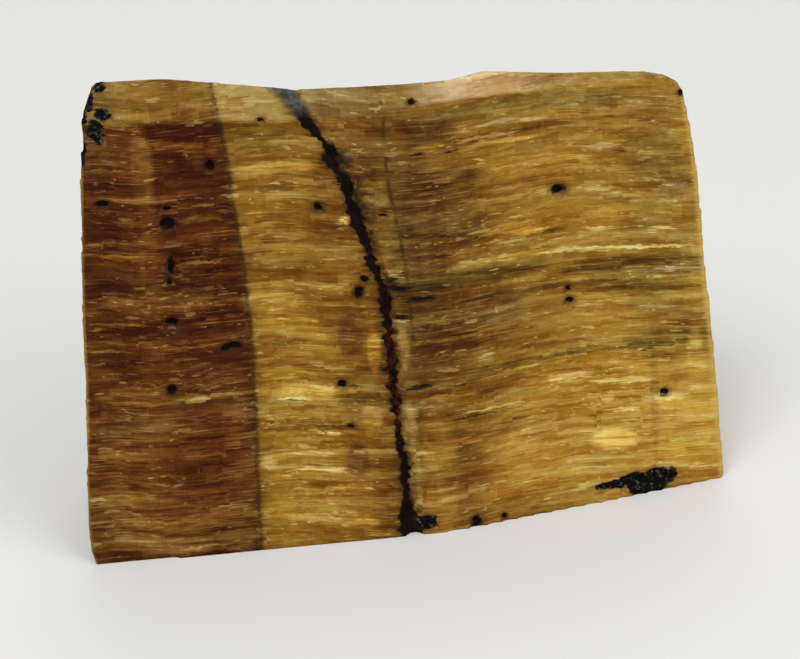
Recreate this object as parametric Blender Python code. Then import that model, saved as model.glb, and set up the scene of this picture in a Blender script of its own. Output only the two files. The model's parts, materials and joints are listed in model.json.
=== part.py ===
import math

import bmesh
import bpy
import numpy as np
from mathutils import Vector, noise

# A rough chunk of tiger's eye, one solid stone that stands on its flat base.
# X runs along the fibres, the show face looks towards -Y, and +Z is up.
# The growth sheets of the seam lie across the fibres, close to the YZ plane.

MM = 0.001

# Show face: it leans back from its foot, and past the turn its right part runs back in plan.
FACE_FOOT_Y = -17.3 * MM
FACE_LEAN = math.radians(14)
LEFT_PLAN_ANGLE = math.radians(-1.1)
RIGHT_PLAN_ANGLE = math.radians(10.8)
TURN_X = 1.4 * MM
TURN_SOFTNESS = 3 * MM

# Narrow bevel between the show face and the ridge, its lean from upright.
BEVEL_LEAN = math.radians(52)

# Ends of the show face, as (height, x) from the base up.
LEFT_END = MM * np.array([(0, -32.3), (2.5, -32.8), (15, -32.2), (25, -31.9), (39.5, -31.1), (42, -31)])
RIGHT_END = MM * np.array([(0, 32.7), (7, 32.4), (15, 31.8), (23, 31.2), (31, 30.7), (39, 29.5)])

# Top of the show face, and the ridge above it, as (x, height) from left to right.
FACE_TOP = MM * np.array([(-31, 41.6), (-17, 41.3), (-9.4, 40.9), (4, 41.6), (16.5, 41.3), (26, 40.7),
                          (29.5, 39)])
RIDGE = MM * np.array([(-29.2, 44.6), (-22.7, 44.5), (-17, 43.9), (-9.4, 43), (5.6, 43), (8.3, 43.3),
                       (16.5, 42.3), (25.4, 41.4), (27, 40.9), (29.1, 39.8)])

# Back of the stone: its foot, its top edge and its narrower span.
BACK_FOOT_Y = 17.2 * MM
BACK_TOP_Y = 13.8 * MM
BACK_LEFT_X = -25 * MM
BACK_RIGHT_X = 30.6 * MM
BACK_LEFT_HEIGHT = 35 * MM
BACK_RIGHT_HEIGHT = 33 * MM

# Cells of the body along X, from front to back and from the base up.
CELLS_X = 34
CELLS_Y = 16
CELLS_Z = 28
BEVEL_CELLS = 3             # the first cells of the top, which climb the bevel to the ridge

# Splinter ledges: on the back as (height, depth), on the top as (y, drop).
BACK_LEDGES = MM * np.array([(5, 1.2), (10.5, 0.8), (16, 1.5), (22, 0.9), (26, 1.3), (31, 0.8)])
TOP_LEDGES = MM * np.array([(1.5, 0.8), (4.5, 1.3), (8.5, 0.8), (11.5, 1)])
LEDGE_RUN = 0.6 * MM        # how far a ledge's step takes from top to bottom
LEDGE_WANDER = 1.6 * MM     # how far a ledge strays up and down
LEDGE_REACH = 9 * MM        # about how far it runs along X before it strays or ends
BACK_LEDGE_SEED = 11
TOP_LEDGE_SEED = 61
LOWEST_SIDE_POINT = 0.2 * MM

# Roughness of each side in layers, as (height, lump size, stretch along the fibres, seed).
FRONT_GRAIN = [(0.16 * MM, 5 * MM, 4, 3)]
BACK_GRAIN = [(0.8 * MM, 6 * MM, 5, 17), (0.4 * MM, 2.4 * MM, 5, 19)]
TOP_GRAIN = [(0.7 * MM, 5 * MM, 4, 23), (0.45 * MM, 2.4 * MM, 5, 29)]
END_GRAIN = [(1.2 * MM, 6 * MM, 1, 31), (0.7 * MM, 2.8 * MM, 1, 37)]
RIM_GRAIN = [(0.12 * MM, 1.6 * MM, 1, 41)]

# Flat breaks across the rear edges, as a point on each and its outward direction.
BREAKS = [
    (Vector((-21, 11.5, 17)) * MM, Vector((-0.74, 0.66, 0.08)).normalized()),
    (Vector((22, 13, 27)) * MM, Vector((0.3, 0.75, 0.55)).normalized()),
    (Vector((28.6, 10, 12)) * MM, Vector((0.86, 0.48, -0.1)).normalized()),
]
BREAK_FLATNESS = 0.92       # share of what stands proud of a break that is gone

# Open vein that crosses the growth sheets, as (height, x) on the show face and its bevel.
VEIN = MM * np.array([(-1, -1), (6.8, -1.4), (13, -2), (20, -2.2), (25, -2.9), (30.4, -4.7), (35.6, -6.3),
                      (40, -8.8), (43.2, -11.7)])
VEIN_WIDTH = 0.9 * MM
VEIN_FOOT_WIDTH = 1.6 * MM
VEIN_DEPTH = 0.6 * MM
VEIN_REAR_DEPTH = 0.3 * MM
VEIN_FLARE = 1.6            # width above the mouth, as a share of the width at the surface
VEIN_FLOOR = 0.5            # width of the floor, as the same share
VEIN_RAGGEDNESS = 0.35
VEIN_RAG_LENGTH = 2.2 * MM
VEIN_DRIFT = 0.12           # sideways slope of the vein's sheet towards the back
VEIN_STEPS = (26, 10, 14)   # steps up the front, over the top and down the back
VEIN_FOOT_STEPS = 5         # the steps over which it narrows from its wide foot
VEIN_OVERRUN = 2 * MM       # how far the cut runs out past the base

# Small cavities on the show face, as (x, height, half length along X, half height).
PITS = MM * np.array([
    (-18.8, 37.2, 0.5, 0.45), (-8.6, 32.5, 0.45, 0.4), (-23.2, 32, 0.85, 0.55), (-23.1, 28, 0.4, 0.9),
    (-23.4, 22.7, 0.6, 0.45), (-23.8, 16.2, 0.5, 0.45), (-5.1, 24.2, 0.6, 0.5), (-7.2, 15.4, 0.45, 0.4),
    (15.6, 31.4, 0.75, 0.5), (16.4, 20.4, 0.45, 0.8), (26.3, 9.8, 0.45, 0.35), (1.1, 41.3, 0.8, 0.35),
    (0.9, 22.7, 1.7, 0.3), (1, 14.6, 1.9, 0.3), (5.7, 0.5, 0.5, 0.6),
])
PIT_DEPTH = 0.5 * MM
PIT_RAGGEDNESS = 0.3

# Chips broken out of the stone: centre, half sizes along X, Y and Z.
CHIPS = [
    (Vector((-31, -7.4, 41.4)) * MM, Vector((2.5, 1.5, 3.5)) * MM),
    (Vector((21, -14.1, 1.1)) * MM, Vector((2.7, 1.2, 0.9)) * MM),
    (Vector((25.3, -13.2, 1.5)) * MM, Vector((2.6, 1.4, 1.4)) * MM),
]
CHIP_RAGGEDNESS = 0.45
HOLLOW_LUMP_SIZE = 0.6      # size of a hollow's own lumps, as a share of its half size

STONE_COLOUR = (0.42, 0.26, 0.08)
STONE_ROUGHNESS = 0.45


def blend(low, high, share):
    return low + (high - low) * share


def smooth_step(value):
    value = min(max(value, 0.0), 1.0)
    return value * value * (3 - 2 * value)


def follow(outline, place):
    return float(np.interp(place, outline[:, 0], outline[:, 1]))


def grain(point, size, stretch, seed):
    # Smooth noise from -1 to 1, its lumps drawn out along the fibres.
    return noise.noise(Vector((point.x / (size * stretch), point.y / size, point.z / size + seed)))


def lumps(point, layers):
    return sum(height * grain(point, size, stretch, seed) for height, size, stretch, seed in layers)


def face_y(x, z):
    past = x - TURN_X
    past = (math.hypot(past, TURN_SOFTNESS) + past) / 2
    turn = math.tan(LEFT_PLAN_ANGLE) * (x - past) + math.tan(RIGHT_PLAN_ANGLE) * past
    return FACE_FOOT_Y + math.tan(FACE_LEAN) * z + turn


def front_point(u, w):
    # The show face: u runs from the left end to the right, w from the base up to the bevel.
    z = w * follow(FACE_TOP, blend(LEFT_END[-1, 1], RIGHT_END[-1, 1], u))
    x = blend(follow(LEFT_END, z), follow(RIGHT_END, z), u)
    return Vector((x, face_y(x, z), z))


def ridge_point(u):
    foot = front_point(u, 1)
    x = blend(RIDGE[0, 0], RIDGE[-1, 0], u)
    z = follow(RIDGE, x)
    return Vector((x, foot.y + (z - foot.z) * math.tan(BEVEL_LEAN), z))


def back_point(u, w):
    z = w * blend(BACK_LEFT_HEIGHT, BACK_RIGHT_HEIGHT, u)
    return Vector((blend(BACK_LEFT_X, BACK_RIGHT_X, u), blend(BACK_FOOT_Y, BACK_TOP_Y, w), z))


def top_point(u, d):
    # Up the bevel to the ridge, then down to the back's top edge.
    bevel_share = BEVEL_CELLS / CELLS_Y
    if d < bevel_share:
        return front_point(u, 1).lerp(ridge_point(u), d / bevel_share)
    return ridge_point(u).lerp(back_point(u, 1), (d - bevel_share) / (1 - bevel_share))


def body_point(u, d, w):
    # The top's rise over the straight line from front to back fades out towards the base.
    straight = front_point(u, w).lerp(back_point(u, w), d)
    rise = top_point(u, d) - front_point(u, 1).lerp(back_point(u, 1), d)
    return straight + rise * w


def ledge_drop(ledges, point, place, seed):
    # Depth of the ledges passed at this place. Each one wanders, and comes and goes along X.
    drop = 0.0
    for number, (start, depth) in enumerate(ledges):
        wander = LEDGE_WANDER * grain(point, LEDGE_REACH, 1.5, seed + number * 7)
        presence = smooth_step(0.7 + 1.6 * grain(point, LEDGE_REACH, 1.2, seed + 40 + number * 5))
        drop += depth * presence * smooth_step((place - start - wander) / LEDGE_RUN + 0.5)
    return drop


def broken(point):
    # Whatever stands proud of a break is pressed back onto it.
    for place, outward in BREAKS:
        past = (point - place).dot(outward)
        if past > 0:
            point = point - outward * past * BREAK_FLATNESS
    return point


def rough_point(u, d, w):
    # Each side moves along its own outward direction, by a share that fades into the stone.
    point = broken(body_point(u, d, w))
    moved = point.copy()
    past_ridge = smooth_step((d - BEVEL_CELLS / CELLS_Y) * 4)
    past_rim = smooth_step(d * 3)
    towards_end = (2 * u - 1) ** 5
    moved.y += (1 - d) ** 6 * lumps(point, FRONT_GRAIN)
    moved.y += d ** 3 * (lumps(point, BACK_GRAIN) - ledge_drop(BACK_LEDGES, point, point.z, BACK_LEDGE_SEED))
    top_drop = ledge_drop(TOP_LEDGES, point, point.y, TOP_LEDGE_SEED)
    moved.z += past_ridge * w ** 4 * (lumps(point, TOP_GRAIN) - top_drop)
    moved.x += towards_end * (past_rim * lumps(point, END_GRAIN) + lumps(point, RIM_GRAIN))
    moved.z = 0 if w == 0 else max(moved.z, LOWEST_SIDE_POINT)
    return moved


def new_object(name, mesh_data, collection):
    bmesh.ops.recalc_face_normals(mesh_data, faces=mesh_data.faces[:])
    mesh = bpy.data.meshes.new(name)
    mesh_data.to_mesh(mesh)
    mesh_data.free()
    thing = bpy.data.objects.new(name, mesh)
    collection.objects.link(thing)
    return thing


def new_cutter(name, mesh_data, cutters):
    cutter = new_object(name, mesh_data, cutters)
    cutter.hide_render = True
    cutter.display_type = "WIRE"


def build_body(name, collection):
    # A unit cube cut into cells, whose corners move from their cell place to their place on the stone.
    body = bmesh.new()
    bmesh.ops.create_cube(body, size=1)
    for axis, cells in enumerate((CELLS_X, CELLS_Y, CELLS_Z)):
        along = Vector((0, 0, 0))
        along[axis] = 1
        for cut in range(1, cells):
            pieces = body.verts[:] + body.edges[:] + body.faces[:]
            bmesh.ops.bisect_plane(body, geom=pieces, plane_co=along * (cut / cells - 0.5), plane_no=along)
    for vertex in body.verts:
        u, d, w = (round(share + 0.5, 6) for share in vertex.co)
        vertex.co = rough_point(u, d, w)
    # The base is one flat face.
    base = [face for face in body.faces if all(vertex.co.z == 0 for vertex in face.verts)]
    bmesh.ops.dissolve_faces(body, faces=base, use_verts=False)
    bmesh.ops.triangulate(body, faces=body.faces[:])
    return new_object(name, body, collection)


def vein_place(d, w):
    # The vein's outcrop at this depth and height, found by its place between the two ends.
    left = body_point(0, d, w)
    right = body_point(1, d, w)
    middle = left.lerp(right, 0.5)
    x = follow(VEIN, middle.z) + VEIN_DRIFT * (middle.y - face_y(middle.x, middle.z))
    return rough_point((x - left.x) / (right.x - left.x), d, w)


def build_vein(cutters):
    # A wedge-shaped strip that follows the outcrop up the front, over the top and down the back.
    up, over, down = VEIN_STEPS
    places = [vein_place(0, step / up) for step in range(up)]
    places += [vein_place(step / over, 1) for step in range(over)]
    places += [vein_place(1, 1 - step / down) for step in range(down + 1)]
    overrun = Vector((0, 0, VEIN_OVERRUN))
    places = [places[0] - overrun, *places, places[-1] - overrun]
    strip = bmesh.new()
    rings = []
    for number, place in enumerate(places):
        before = places[max(number - 1, 0)]
        after = places[min(number + 1, len(places) - 1)]
        outward = Vector((1, 0, 0)).cross(after - before).normalized()
        ragged = 1 + VEIN_RAGGEDNESS * noise.noise(place / VEIN_RAG_LENGTH)
        width = ragged * blend(VEIN_FOOT_WIDTH, VEIN_WIDTH, smooth_step(number / VEIN_FOOT_STEPS))
        depth = ragged * (VEIN_DEPTH if number < up else VEIN_REAR_DEPTH)
        mouth = place + outward * VEIN_DEPTH
        floor = place - outward * depth
        mouth_side = Vector((width * VEIN_FLARE / 2, 0, 0))
        floor_side = Vector((width * VEIN_FLOOR / 2, 0, 0))
        corners = (mouth - mouth_side, mouth + mouth_side, floor + floor_side, floor - floor_side)
        rings.append([strip.verts.new(corner) for corner in corners])
    for ring, following in zip(rings, rings[1:]):
        for corner in range(4):
            beside = (corner + 1) % 4
            strip.faces.new((ring[corner], ring[beside], following[beside], following[corner]))
    strip.faces.new(rings[0])
    strip.faces.new(rings[-1])
    bmesh.ops.recalc_face_normals(strip, faces=strip.faces[:])
    bmesh.ops.triangulate(strip, faces=strip.faces[:])
    new_cutter("vein_cutter", strip, cutters)


def build_hollow(name, centre, half_sizes, detail, raggedness, cutters):
    hollow = bmesh.new()
    bmesh.ops.create_icosphere(hollow, subdivisions=detail, radius=1)
    for vertex in hollow.verts:
        swell = 1 + raggedness * noise.noise(vertex.co / HOLLOW_LUMP_SIZE + centre / MM)
        vertex.co = centre + vertex.co * half_sizes * swell
    new_cutter(name, hollow, cutters)


def new_material(name, colour, roughness):
    material = bpy.data.materials.new(name)
    material.use_nodes = True
    surface = material.node_tree.nodes["Principled BSDF"]
    surface.inputs["Base Color"].default_value = (*colour, 1)
    surface.inputs["Roughness"].default_value = roughness
    surface.inputs["Metallic"].default_value = 0
    return material


def main():
    for thing in list(bpy.data.objects):
        bpy.data.objects.remove(thing)
    stone_collection = bpy.context.scene.collection
    cutters = bpy.data.collections.new("cutters")
    stone_collection.children.link(cutters)

    stone = build_body("rough_tigers_eye", stone_collection)
    stone.data.materials.append(new_material("silky_stone", STONE_COLOUR, STONE_ROUGHNESS))

    build_vein(cutters)
    for number, (x, z, half_x, half_z) in enumerate(PITS):
        centre = Vector((x, face_y(x, z), z))
        half_sizes = Vector((half_x, PIT_DEPTH, half_z))
        build_hollow(f"pit_cutter_{number}", centre, half_sizes, 1, PIT_RAGGEDNESS, cutters)
    for number, (centre, half_sizes) in enumerate(CHIPS):
        build_hollow(f"chip_cutter_{number}", centre, half_sizes, 3, CHIP_RAGGEDNESS, cutters)

    cut = stone.modifiers.new("hollows", "BOOLEAN")
    cut.operation = "DIFFERENCE"
    cut.operand_type = "COLLECTION"
    cut.collection = cutters
    cut.solver = "EXACT"


main()
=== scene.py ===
import json
import math

import bpy
import numpy as np
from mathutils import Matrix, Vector

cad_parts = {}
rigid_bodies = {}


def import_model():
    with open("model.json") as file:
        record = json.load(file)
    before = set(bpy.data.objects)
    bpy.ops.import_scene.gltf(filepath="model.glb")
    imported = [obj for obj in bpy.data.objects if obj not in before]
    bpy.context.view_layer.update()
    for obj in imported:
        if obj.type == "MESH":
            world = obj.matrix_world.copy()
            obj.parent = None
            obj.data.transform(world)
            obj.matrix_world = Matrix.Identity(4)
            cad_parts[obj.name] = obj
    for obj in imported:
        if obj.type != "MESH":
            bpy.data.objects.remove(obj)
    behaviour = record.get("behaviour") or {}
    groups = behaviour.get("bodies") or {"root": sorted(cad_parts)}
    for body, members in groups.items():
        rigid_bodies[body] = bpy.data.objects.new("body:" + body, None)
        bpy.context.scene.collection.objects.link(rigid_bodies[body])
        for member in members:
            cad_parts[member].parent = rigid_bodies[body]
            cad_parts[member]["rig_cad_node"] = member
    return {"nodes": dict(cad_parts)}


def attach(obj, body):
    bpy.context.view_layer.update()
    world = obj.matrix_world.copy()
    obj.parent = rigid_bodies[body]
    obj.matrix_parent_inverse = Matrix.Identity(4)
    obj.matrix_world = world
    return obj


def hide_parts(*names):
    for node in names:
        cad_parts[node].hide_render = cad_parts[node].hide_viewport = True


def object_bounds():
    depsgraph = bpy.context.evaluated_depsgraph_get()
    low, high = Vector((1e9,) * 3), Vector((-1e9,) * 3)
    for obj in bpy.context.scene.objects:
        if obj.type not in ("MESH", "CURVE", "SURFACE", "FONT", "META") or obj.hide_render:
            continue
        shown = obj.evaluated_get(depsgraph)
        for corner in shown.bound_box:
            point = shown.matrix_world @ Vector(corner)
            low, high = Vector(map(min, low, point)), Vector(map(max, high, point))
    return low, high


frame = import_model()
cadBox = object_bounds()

# A rough chunk of tiger's eye on a pale floor.
# The stone's patterns below are in millimetres, and the scene itself is in metres.

millimetre = 0.001

# The stone's own layout, shared by its surface and its colours.
# Curves are pairs of place and value; the fibres run along X.
stoneLayout = {
    "faceFootY": -17.3,
    "faceLean": math.radians(14),
    "bevelLean": math.radians(52),
    "leftPlanAngle": math.radians(-1.1),
    "rightPlanAngle": math.radians(10.8),
    # where the face turns from its left angle to its right one, and how softly
    "turnX": 1.4,
    "turnSoftness": 3,
    # how far the growth sheets move along X for each millimetre of depth
    "sheetDrift": 0.12,
    # how deep the show face's painted tints and hollows go
    "faceDepth": 1.6,
    # how far the fibres stray up or down along X
    "fibreRise": [(-35, 0), (-31, 0), (-24.5, -0.5), (-19.5, -0.42), (-14.5, -0.35), (-7.5, -0.9),
                  (-1.5, -1.4), (4.4, -1.52), (9, -1.42), (13.8, -1.38), (20, -1.85), (31, -3.2), (35, -3.6)],
    # x of the brown band's edge at each height
    "bandEdge": [(0, -15.85), (6, -15.75), (11, -15.7), (16, -15.6), (21, -15.65), (26, -15.85),
                 (31, -16.4), (36, -16.85), (41.5, -17.5), (45, -18)],
    # x of the dark open vein at each height, and half its width there
    "vein": [(0, -1.05), (6, -1.45), (11, -1.85), (15, -2.2), (20, -2.4), (24, -2.65), (26, -3.3),
             (29, -4.25), (32, -5.2), (35, -6.2), (37.8, -7.5), (41, -9.5), (43.3, -11.3), (45, -12.6)],
    "veinHalf": [(0, 1.15), (2, 1.0), (4, 0.56), (8, 0.5), (11, 0.4), (13.5, 0.5), (16, 0.68), (19, 0.58),
                 (22, 0.45), (24, 0.5), (26, 0.4), (28, 0.42), (29.5, 0.62), (31, 0.66), (32.5, 0.4),
                 (34.5, 0.6), (36, 0.4), (37.4, 0.6), (38.8, 0.34), (40.3, 0.72), (41.5, 0.8), (45, 1.1)],
    # x of the fainter second line at each height
    "secondLine": [(0, 0.4), (10, 0.3), (20, 0.0), (27.5, -0.6), (31, -1.1), (35, -1.75), (41, -2.0),
                   (45, -2.2)],
    # x of the face's two ends at each height
    "leftEnd": [(0, -32.3), (2.5, -32.8), (15, -32.2), (25, -31.9), (39.5, -31.1), (45, -30.8)],
    "rightEnd": [(0, 32.7), (7, 32.4), (15, 31.8), (23, 31.2), (31, 30.7), (39, 29.5), (45, 28.5)],
    # height of the bevel's lower edge along X
    "bevelEdge": [(-35, 41.7), (-31, 41.6), (-17, 41.3), (-9.4, 40.9), (4, 41.5), (16.5, 41.4), (26, 40.8),
                  (35, 40)],
}


def deselectAll():
    if bpy.context.object and bpy.context.object.mode != "OBJECT":
        bpy.ops.object.mode_set(mode="OBJECT")
    bpy.ops.object.select_all(action="DESELECT")


def makeActive(thing):
    deselectAll()
    thing.select_set(True)
    bpy.context.view_layer.objects.active = thing


def applyModifier(piece, name, kind, **settings):
    makeActive(piece)
    modifier = piece.modifiers.new(name, kind)
    for setting, value in settings.items():
        setattr(modifier, setting, value)
    bpy.ops.object.modifier_apply(modifier=name)


def follow(curve, place):
    return np.interp(place, [point[0] for point in curve], [point[1] for point in curve])


def rise(values, low, high):
    # from 0 at low to 1 at high
    return np.clip((values - low) / (high - low), 0, 1)


def vertexPlaces(piece):
    places = np.empty(len(piece.data.vertices) * 3)
    piece.data.vertices.foreach_get("co", places)
    return places.reshape(-1, 3)


def setVertexPlaces(piece, places):
    piece.data.vertices.foreach_set("co", places.ravel())
    piece.data.update()


def frontY(x, z):
    # y of the show face, and of the bevel above it
    layout = stoneLayout
    pastTurn = x - layout["turnX"]
    past = (np.hypot(pastTurn, layout["turnSoftness"]) + pastTurn) / 2
    y = layout["faceFootY"] + math.tan(layout["faceLean"]) * z
    y += math.tan(layout["leftPlanAngle"]) * (x - past) + math.tan(layout["rightPlanAngle"]) * past
    steeper = math.tan(layout["bevelLean"]) - math.tan(layout["faceLean"])
    return y + steeper * np.maximum(z - follow(layout["bevelEdge"], x), 0)


def facePlaces(piece):
    # each vertex's x, y and z, then its place along the fibres, its height among them and its depth
    x, y, z = vertexPlaces(piece).T / millimetre
    depth = y - frontY(x, z)
    return x, y, z, x - stoneLayout["sheetDrift"] * depth, z - follow(stoneLayout["fibreRise"], x), depth


def patchDistance(along, height, x, z, halfLength, halfHeight):
    # how far each vertex is from a patch's middle, where 1 is its edge
    middleHeight = z - follow(stoneLayout["fibreRise"], x)
    return np.hypot((along - x) / halfLength, (height - middleHeight) / halfHeight)


stoneSurface = {
    "mergeDistance": 0.001 * millimetre,
    "voxel": 0.325 * millimetre,
    "smoothing": 0.5,
    "smoothPasses": 3,
    # the top left corner is cut off between two places, x and z, and less and less behind the face
    "cutCorner": [(-31.1, 41.7), (-28.3, 44.6)],
    "cutAbove": 38,
    "cutBehind": 1.5,
    "cutRise": 0.6,
    # where the rear and the ends begin and are full, by depth and by the x of the normal
    "rearDepth": (1.2, 3.7),
    "endNormal": (0.55, 0.8),
    "endShareOnFace": 0.12,
    # heights over which the relief comes in above the base, and below which the base has none
    "reliefFoot": (0, 1.2),
    "baseZone": 0.35,
    "baseNormal": -0.5,
    # layers of relief: group, grain size, stretch along the fibres, height
    "relief": [
        ("face", 0.5, 9, 0.05),
        ("broken", 1.3, 6, 0.7),
        ("broken", 0.55, 7, 0.3),
        ("ends", 1.5, 1, 0.7),
        ("ends", 0.6, 1, 0.3),
    ],
    "reliefShift": (0.031, 0.017, 0),
    # hollows: kind of spot, how much wider than its colour, depth
    "hollows": [("pits", 0.25, 0.45), ("crusts", 0.0, 0.3)],
    "hollowEdge": (1.1, 0.55),
    "hollowFoot": (0, 0.6),
    "grainSeed": 5,
    # flat faces of the base are joined into one
    "flatHeight": 0.3 * millimetre,
    "flatNormal": -0.985,
    "flatAngle": math.radians(3),
}


def copyStoneNode():
    node = frame["nodes"]["rough_tigers_eye"]
    makeActive(node)
    bpy.ops.object.duplicate()
    stone = bpy.context.object
    stone.name = "tigersEyeStone"
    stone.parent = None
    del stone["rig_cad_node"]
    bpy.ops.object.mode_set(mode="EDIT")
    bpy.ops.mesh.select_all(action="SELECT")
    bpy.ops.mesh.remove_doubles(threshold=stoneSurface["mergeDistance"])
    bpy.ops.object.mode_set(mode="OBJECT")
    return stone


def cutCorner(piece):
    x, y, z = vertexPlaces(piece).T / millimetre
    (lowX, lowZ), (highX, highZ) = stoneSurface["cutCorner"]
    behind = np.maximum(y - frontY(x, z) - stoneSurface["cutBehind"], 0)
    highest = lowZ + (x - lowX) * (highZ - lowZ) / (highX - lowX) + behind * stoneSurface["cutRise"]
    z = np.where(z > stoneSurface["cutAbove"], np.minimum(z, highest), z)
    setVertexPlaces(piece, np.column_stack([x, y, z]) * millimetre)


def weighVertices(piece):
    # each vertex belongs to the show face, the broken rear or the rough ends, by its normal and place
    x, y, z = vertexPlaces(piece).T / millimetre
    normals = np.empty(len(piece.data.vertices) * 3)
    piece.data.vertices.foreach_get("normal", normals)
    normals = normals.reshape(-1, 3)
    onBase = (z < stoneSurface["baseZone"]) & (normals[:, 2] < stoneSurface["baseNormal"])
    endShare = rise(np.abs(normals[:, 0]), *stoneSurface["endNormal"])
    behind = rise(y - frontY(x, z), *stoneSurface["rearDepth"])
    aboveBase = rise(z, *stoneSurface["reliefFoot"])
    weights = {
        "face": (1 - behind) * (1 - endShare),
        "broken": behind * (1 - endShare) * aboveBase,
        "ends": endShare * np.clip(behind + stoneSurface["endShareOnFace"], 0, 1) * aboveBase,
    }
    for name, shares in weights.items():
        shares[onBase] = 0
        group = piece.vertex_groups.new(name=name)
        for step in range(1, 11):      # ten even steps are enough
            members = np.nonzero(np.round(shares * 10) == step)[0]
            if len(members):
                group.add(members.tolist(), step / 10, "REPLACE")


def strayFibres(piece, direction):
    # laid straight while the relief is added, then back along their rise
    places = vertexPlaces(piece)
    places[:, 2] += direction * follow(stoneLayout["fibreRise"], places[:, 0] / millimetre) * millimetre
    setVertexPlaces(piece, places)


def addRelief(piece, number, group, grain, stretch, height):
    texture = bpy.data.textures.new(f"relief{number}", "CLOUDS")
    texture.noise_scale = 1
    texture.noise_depth = 2
    deselectAll()
    bpy.ops.object.empty_add(location=Vector(stoneSurface["reliefShift"]) * number)
    guide = bpy.context.object
    guide.scale = Vector((grain * stretch, grain, grain)) * millimetre
    bpy.context.view_layer.update()
    applyModifier(piece, "relief", "DISPLACE", texture=texture, texture_coords="OBJECT",
                  texture_coords_object=guide, strength=height * millimetre, mid_level=0.5,
                  vertex_group=group)
    makeActive(guide)
    bpy.ops.object.delete()
    bpy.data.textures.remove(texture)


def sinkSpots(piece):
    # hollows out the pits, and roughens the crust into grains
    x, y, z, along, height, depth = facePlaces(piece)
    grains = np.random.default_rng(stoneSurface["grainSeed"]).uniform(0, 1, len(x))
    sunk = np.zeros(len(x))
    for kind, wider, deep in stoneSurface["hollows"]:
        for middleX, middleZ, halfLength, halfHeight in silkyStone[kind]:
            apart = patchDistance(along, height, middleX, middleZ, halfLength + wider, halfHeight + wider)
            hollow = deep * rise(apart, *stoneSurface["hollowEdge"])
            sunk = np.maximum(sunk, hollow * (grains if kind == "crusts" else 1))
    sunk *= (depth < stoneLayout["faceDepth"]) * rise(z, *stoneSurface["hollowFoot"])
    setVertexPlaces(piece, np.column_stack([x, y + sunk, z]) * millimetre)


def flattenBase(piece):
    # keeps the stone inside the box of its solid, with one flat face under it
    setVertexPlaces(piece, np.clip(vertexPlaces(piece), np.array(cadBox[0]), np.array(cadBox[1])))
    makeActive(piece)
    for face in piece.data.polygons:
        face.select = (face.normal.z < stoneSurface["flatNormal"]
                       and face.center.z < stoneSurface["flatHeight"])
    bpy.ops.object.mode_set(mode="EDIT")
    bpy.ops.mesh.dissolve_limited(angle_limit=stoneSurface["flatAngle"])
    bpy.ops.object.mode_set(mode="OBJECT")


def makeStone():
    stone = copyStoneNode()
    applyModifier(stone, "even cells", "REMESH", mode="VOXEL", voxel_size=stoneSurface["voxel"])
    applyModifier(stone, "soften", "SMOOTH", factor=stoneSurface["smoothing"],
                  iterations=stoneSurface["smoothPasses"])
    cutCorner(stone)
    weighVertices(stone)
    strayFibres(stone, -1)
    for number, layer in enumerate(stoneSurface["relief"]):
        addRelief(stone, number, *layer)
    strayFibres(stone, 1)
    stone.vertex_groups.clear()
    sinkSpots(stone)
    flattenBase(stone)
    makeActive(stone)
    bpy.ops.object.shade_smooth()
    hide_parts("rough_tigers_eye")
    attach(stone, "root")
    return stone


def newNode(kind, inputs, tree=None, **settings):
    # goes where its linked inputs are, unless a tree is given
    linked = {name: value for name, value in inputs.items() if isinstance(value, bpy.types.NodeSocket)}
    tree = tree or next(iter(linked.values())).id_data
    made = tree.nodes.new(kind)
    for setting, value in settings.items():
        setattr(made, setting, value)
    for name, value in inputs.items():
        if name in linked:
            tree.links.new(value, made.inputs[name])
        else:
            made.inputs[name].default_value = value
    return made


def doMath(operation, *values):
    return newNode("ShaderNodeMath", dict(enumerate(values)), operation=operation).outputs[0]


def inTurn(operation):
    # a helper that takes any number of values and works through them in turn
    def work(result, *others):
        for other in others:
            result = doMath(operation, result, other)
        return result
    return work


plus, minus, times, over, largest = map(inTurn, ("ADD", "SUBTRACT", "MULTIPLY", "DIVIDE", "MAXIMUM"))


def timesPlus(value, factor, more):
    return doMath("MULTIPLY_ADD", value, factor, more)


def jog(place, mask, reach):
    # moves a place either way, by up to half the reach
    return timesPlus(mask, reach, minus(place, reach / 2))


def mapRange(value, low, high, newLow=0.0, newHigh=1.0, kind="SMOOTHSTEP"):
    return newNode("ShaderNodeMapRange", {0: value, 1: low, 2: high, 3: newLow, 4: newHigh},
                   interpolation_type=kind).outputs[0]


def evenRange(value, *ends):
    return mapRange(value, *ends, kind="LINEAR")


def lay(colour, tint, *shares):
    # lays a tint over a colour, by the product of its shares
    return newNode("ShaderNodeMix", {0: times(*shares), 6: colour, 7: tint}, data_type="RGBA").outputs[2]


def bendColour(colour, bend):
    return newNode("ShaderNodeGamma", {0: colour, 1: bend}).outputs[0]


def vectorMath(operation, *values):
    made = newNode("ShaderNodeVectorMath", dict(enumerate(values)), operation=operation)
    return made.outputs["Value"] if operation == "LENGTH" else made.outputs["Vector"]


def vectorFrom(*values):
    return newNode("ShaderNodeCombineXYZ", dict(enumerate(values))).outputs[0]


def inMillimetres(place):
    return vectorMath("DIVIDE", place, (millimetre,) * 3)


def curveValue(curve, place):
    # reads one of the layout's curves inside a shader
    places, values = [point[0] for point in curve], [point[1] for point in curve]
    first, last, least, most = min(places), max(places), min(values), max(values)
    made = newNode("ShaderNodeFloatCurve", {"Value": evenRange(place, first, last)})
    line = made.mapping.curves[0]
    spots = [((x - first) / (last - first), (y - least) / (most - least)) for x, y in curve]
    line.points[0].location = spots[0]
    line.points[1].location = spots[-1]
    for spot in spots[1:-1]:
        line.points.new(*spot)
    for point in line.points:
        point.handle_type = "AUTO_CLAMPED"
    made.mapping.update()
    return evenRange(made.outputs[0], 0, 1, least, most)


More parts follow.
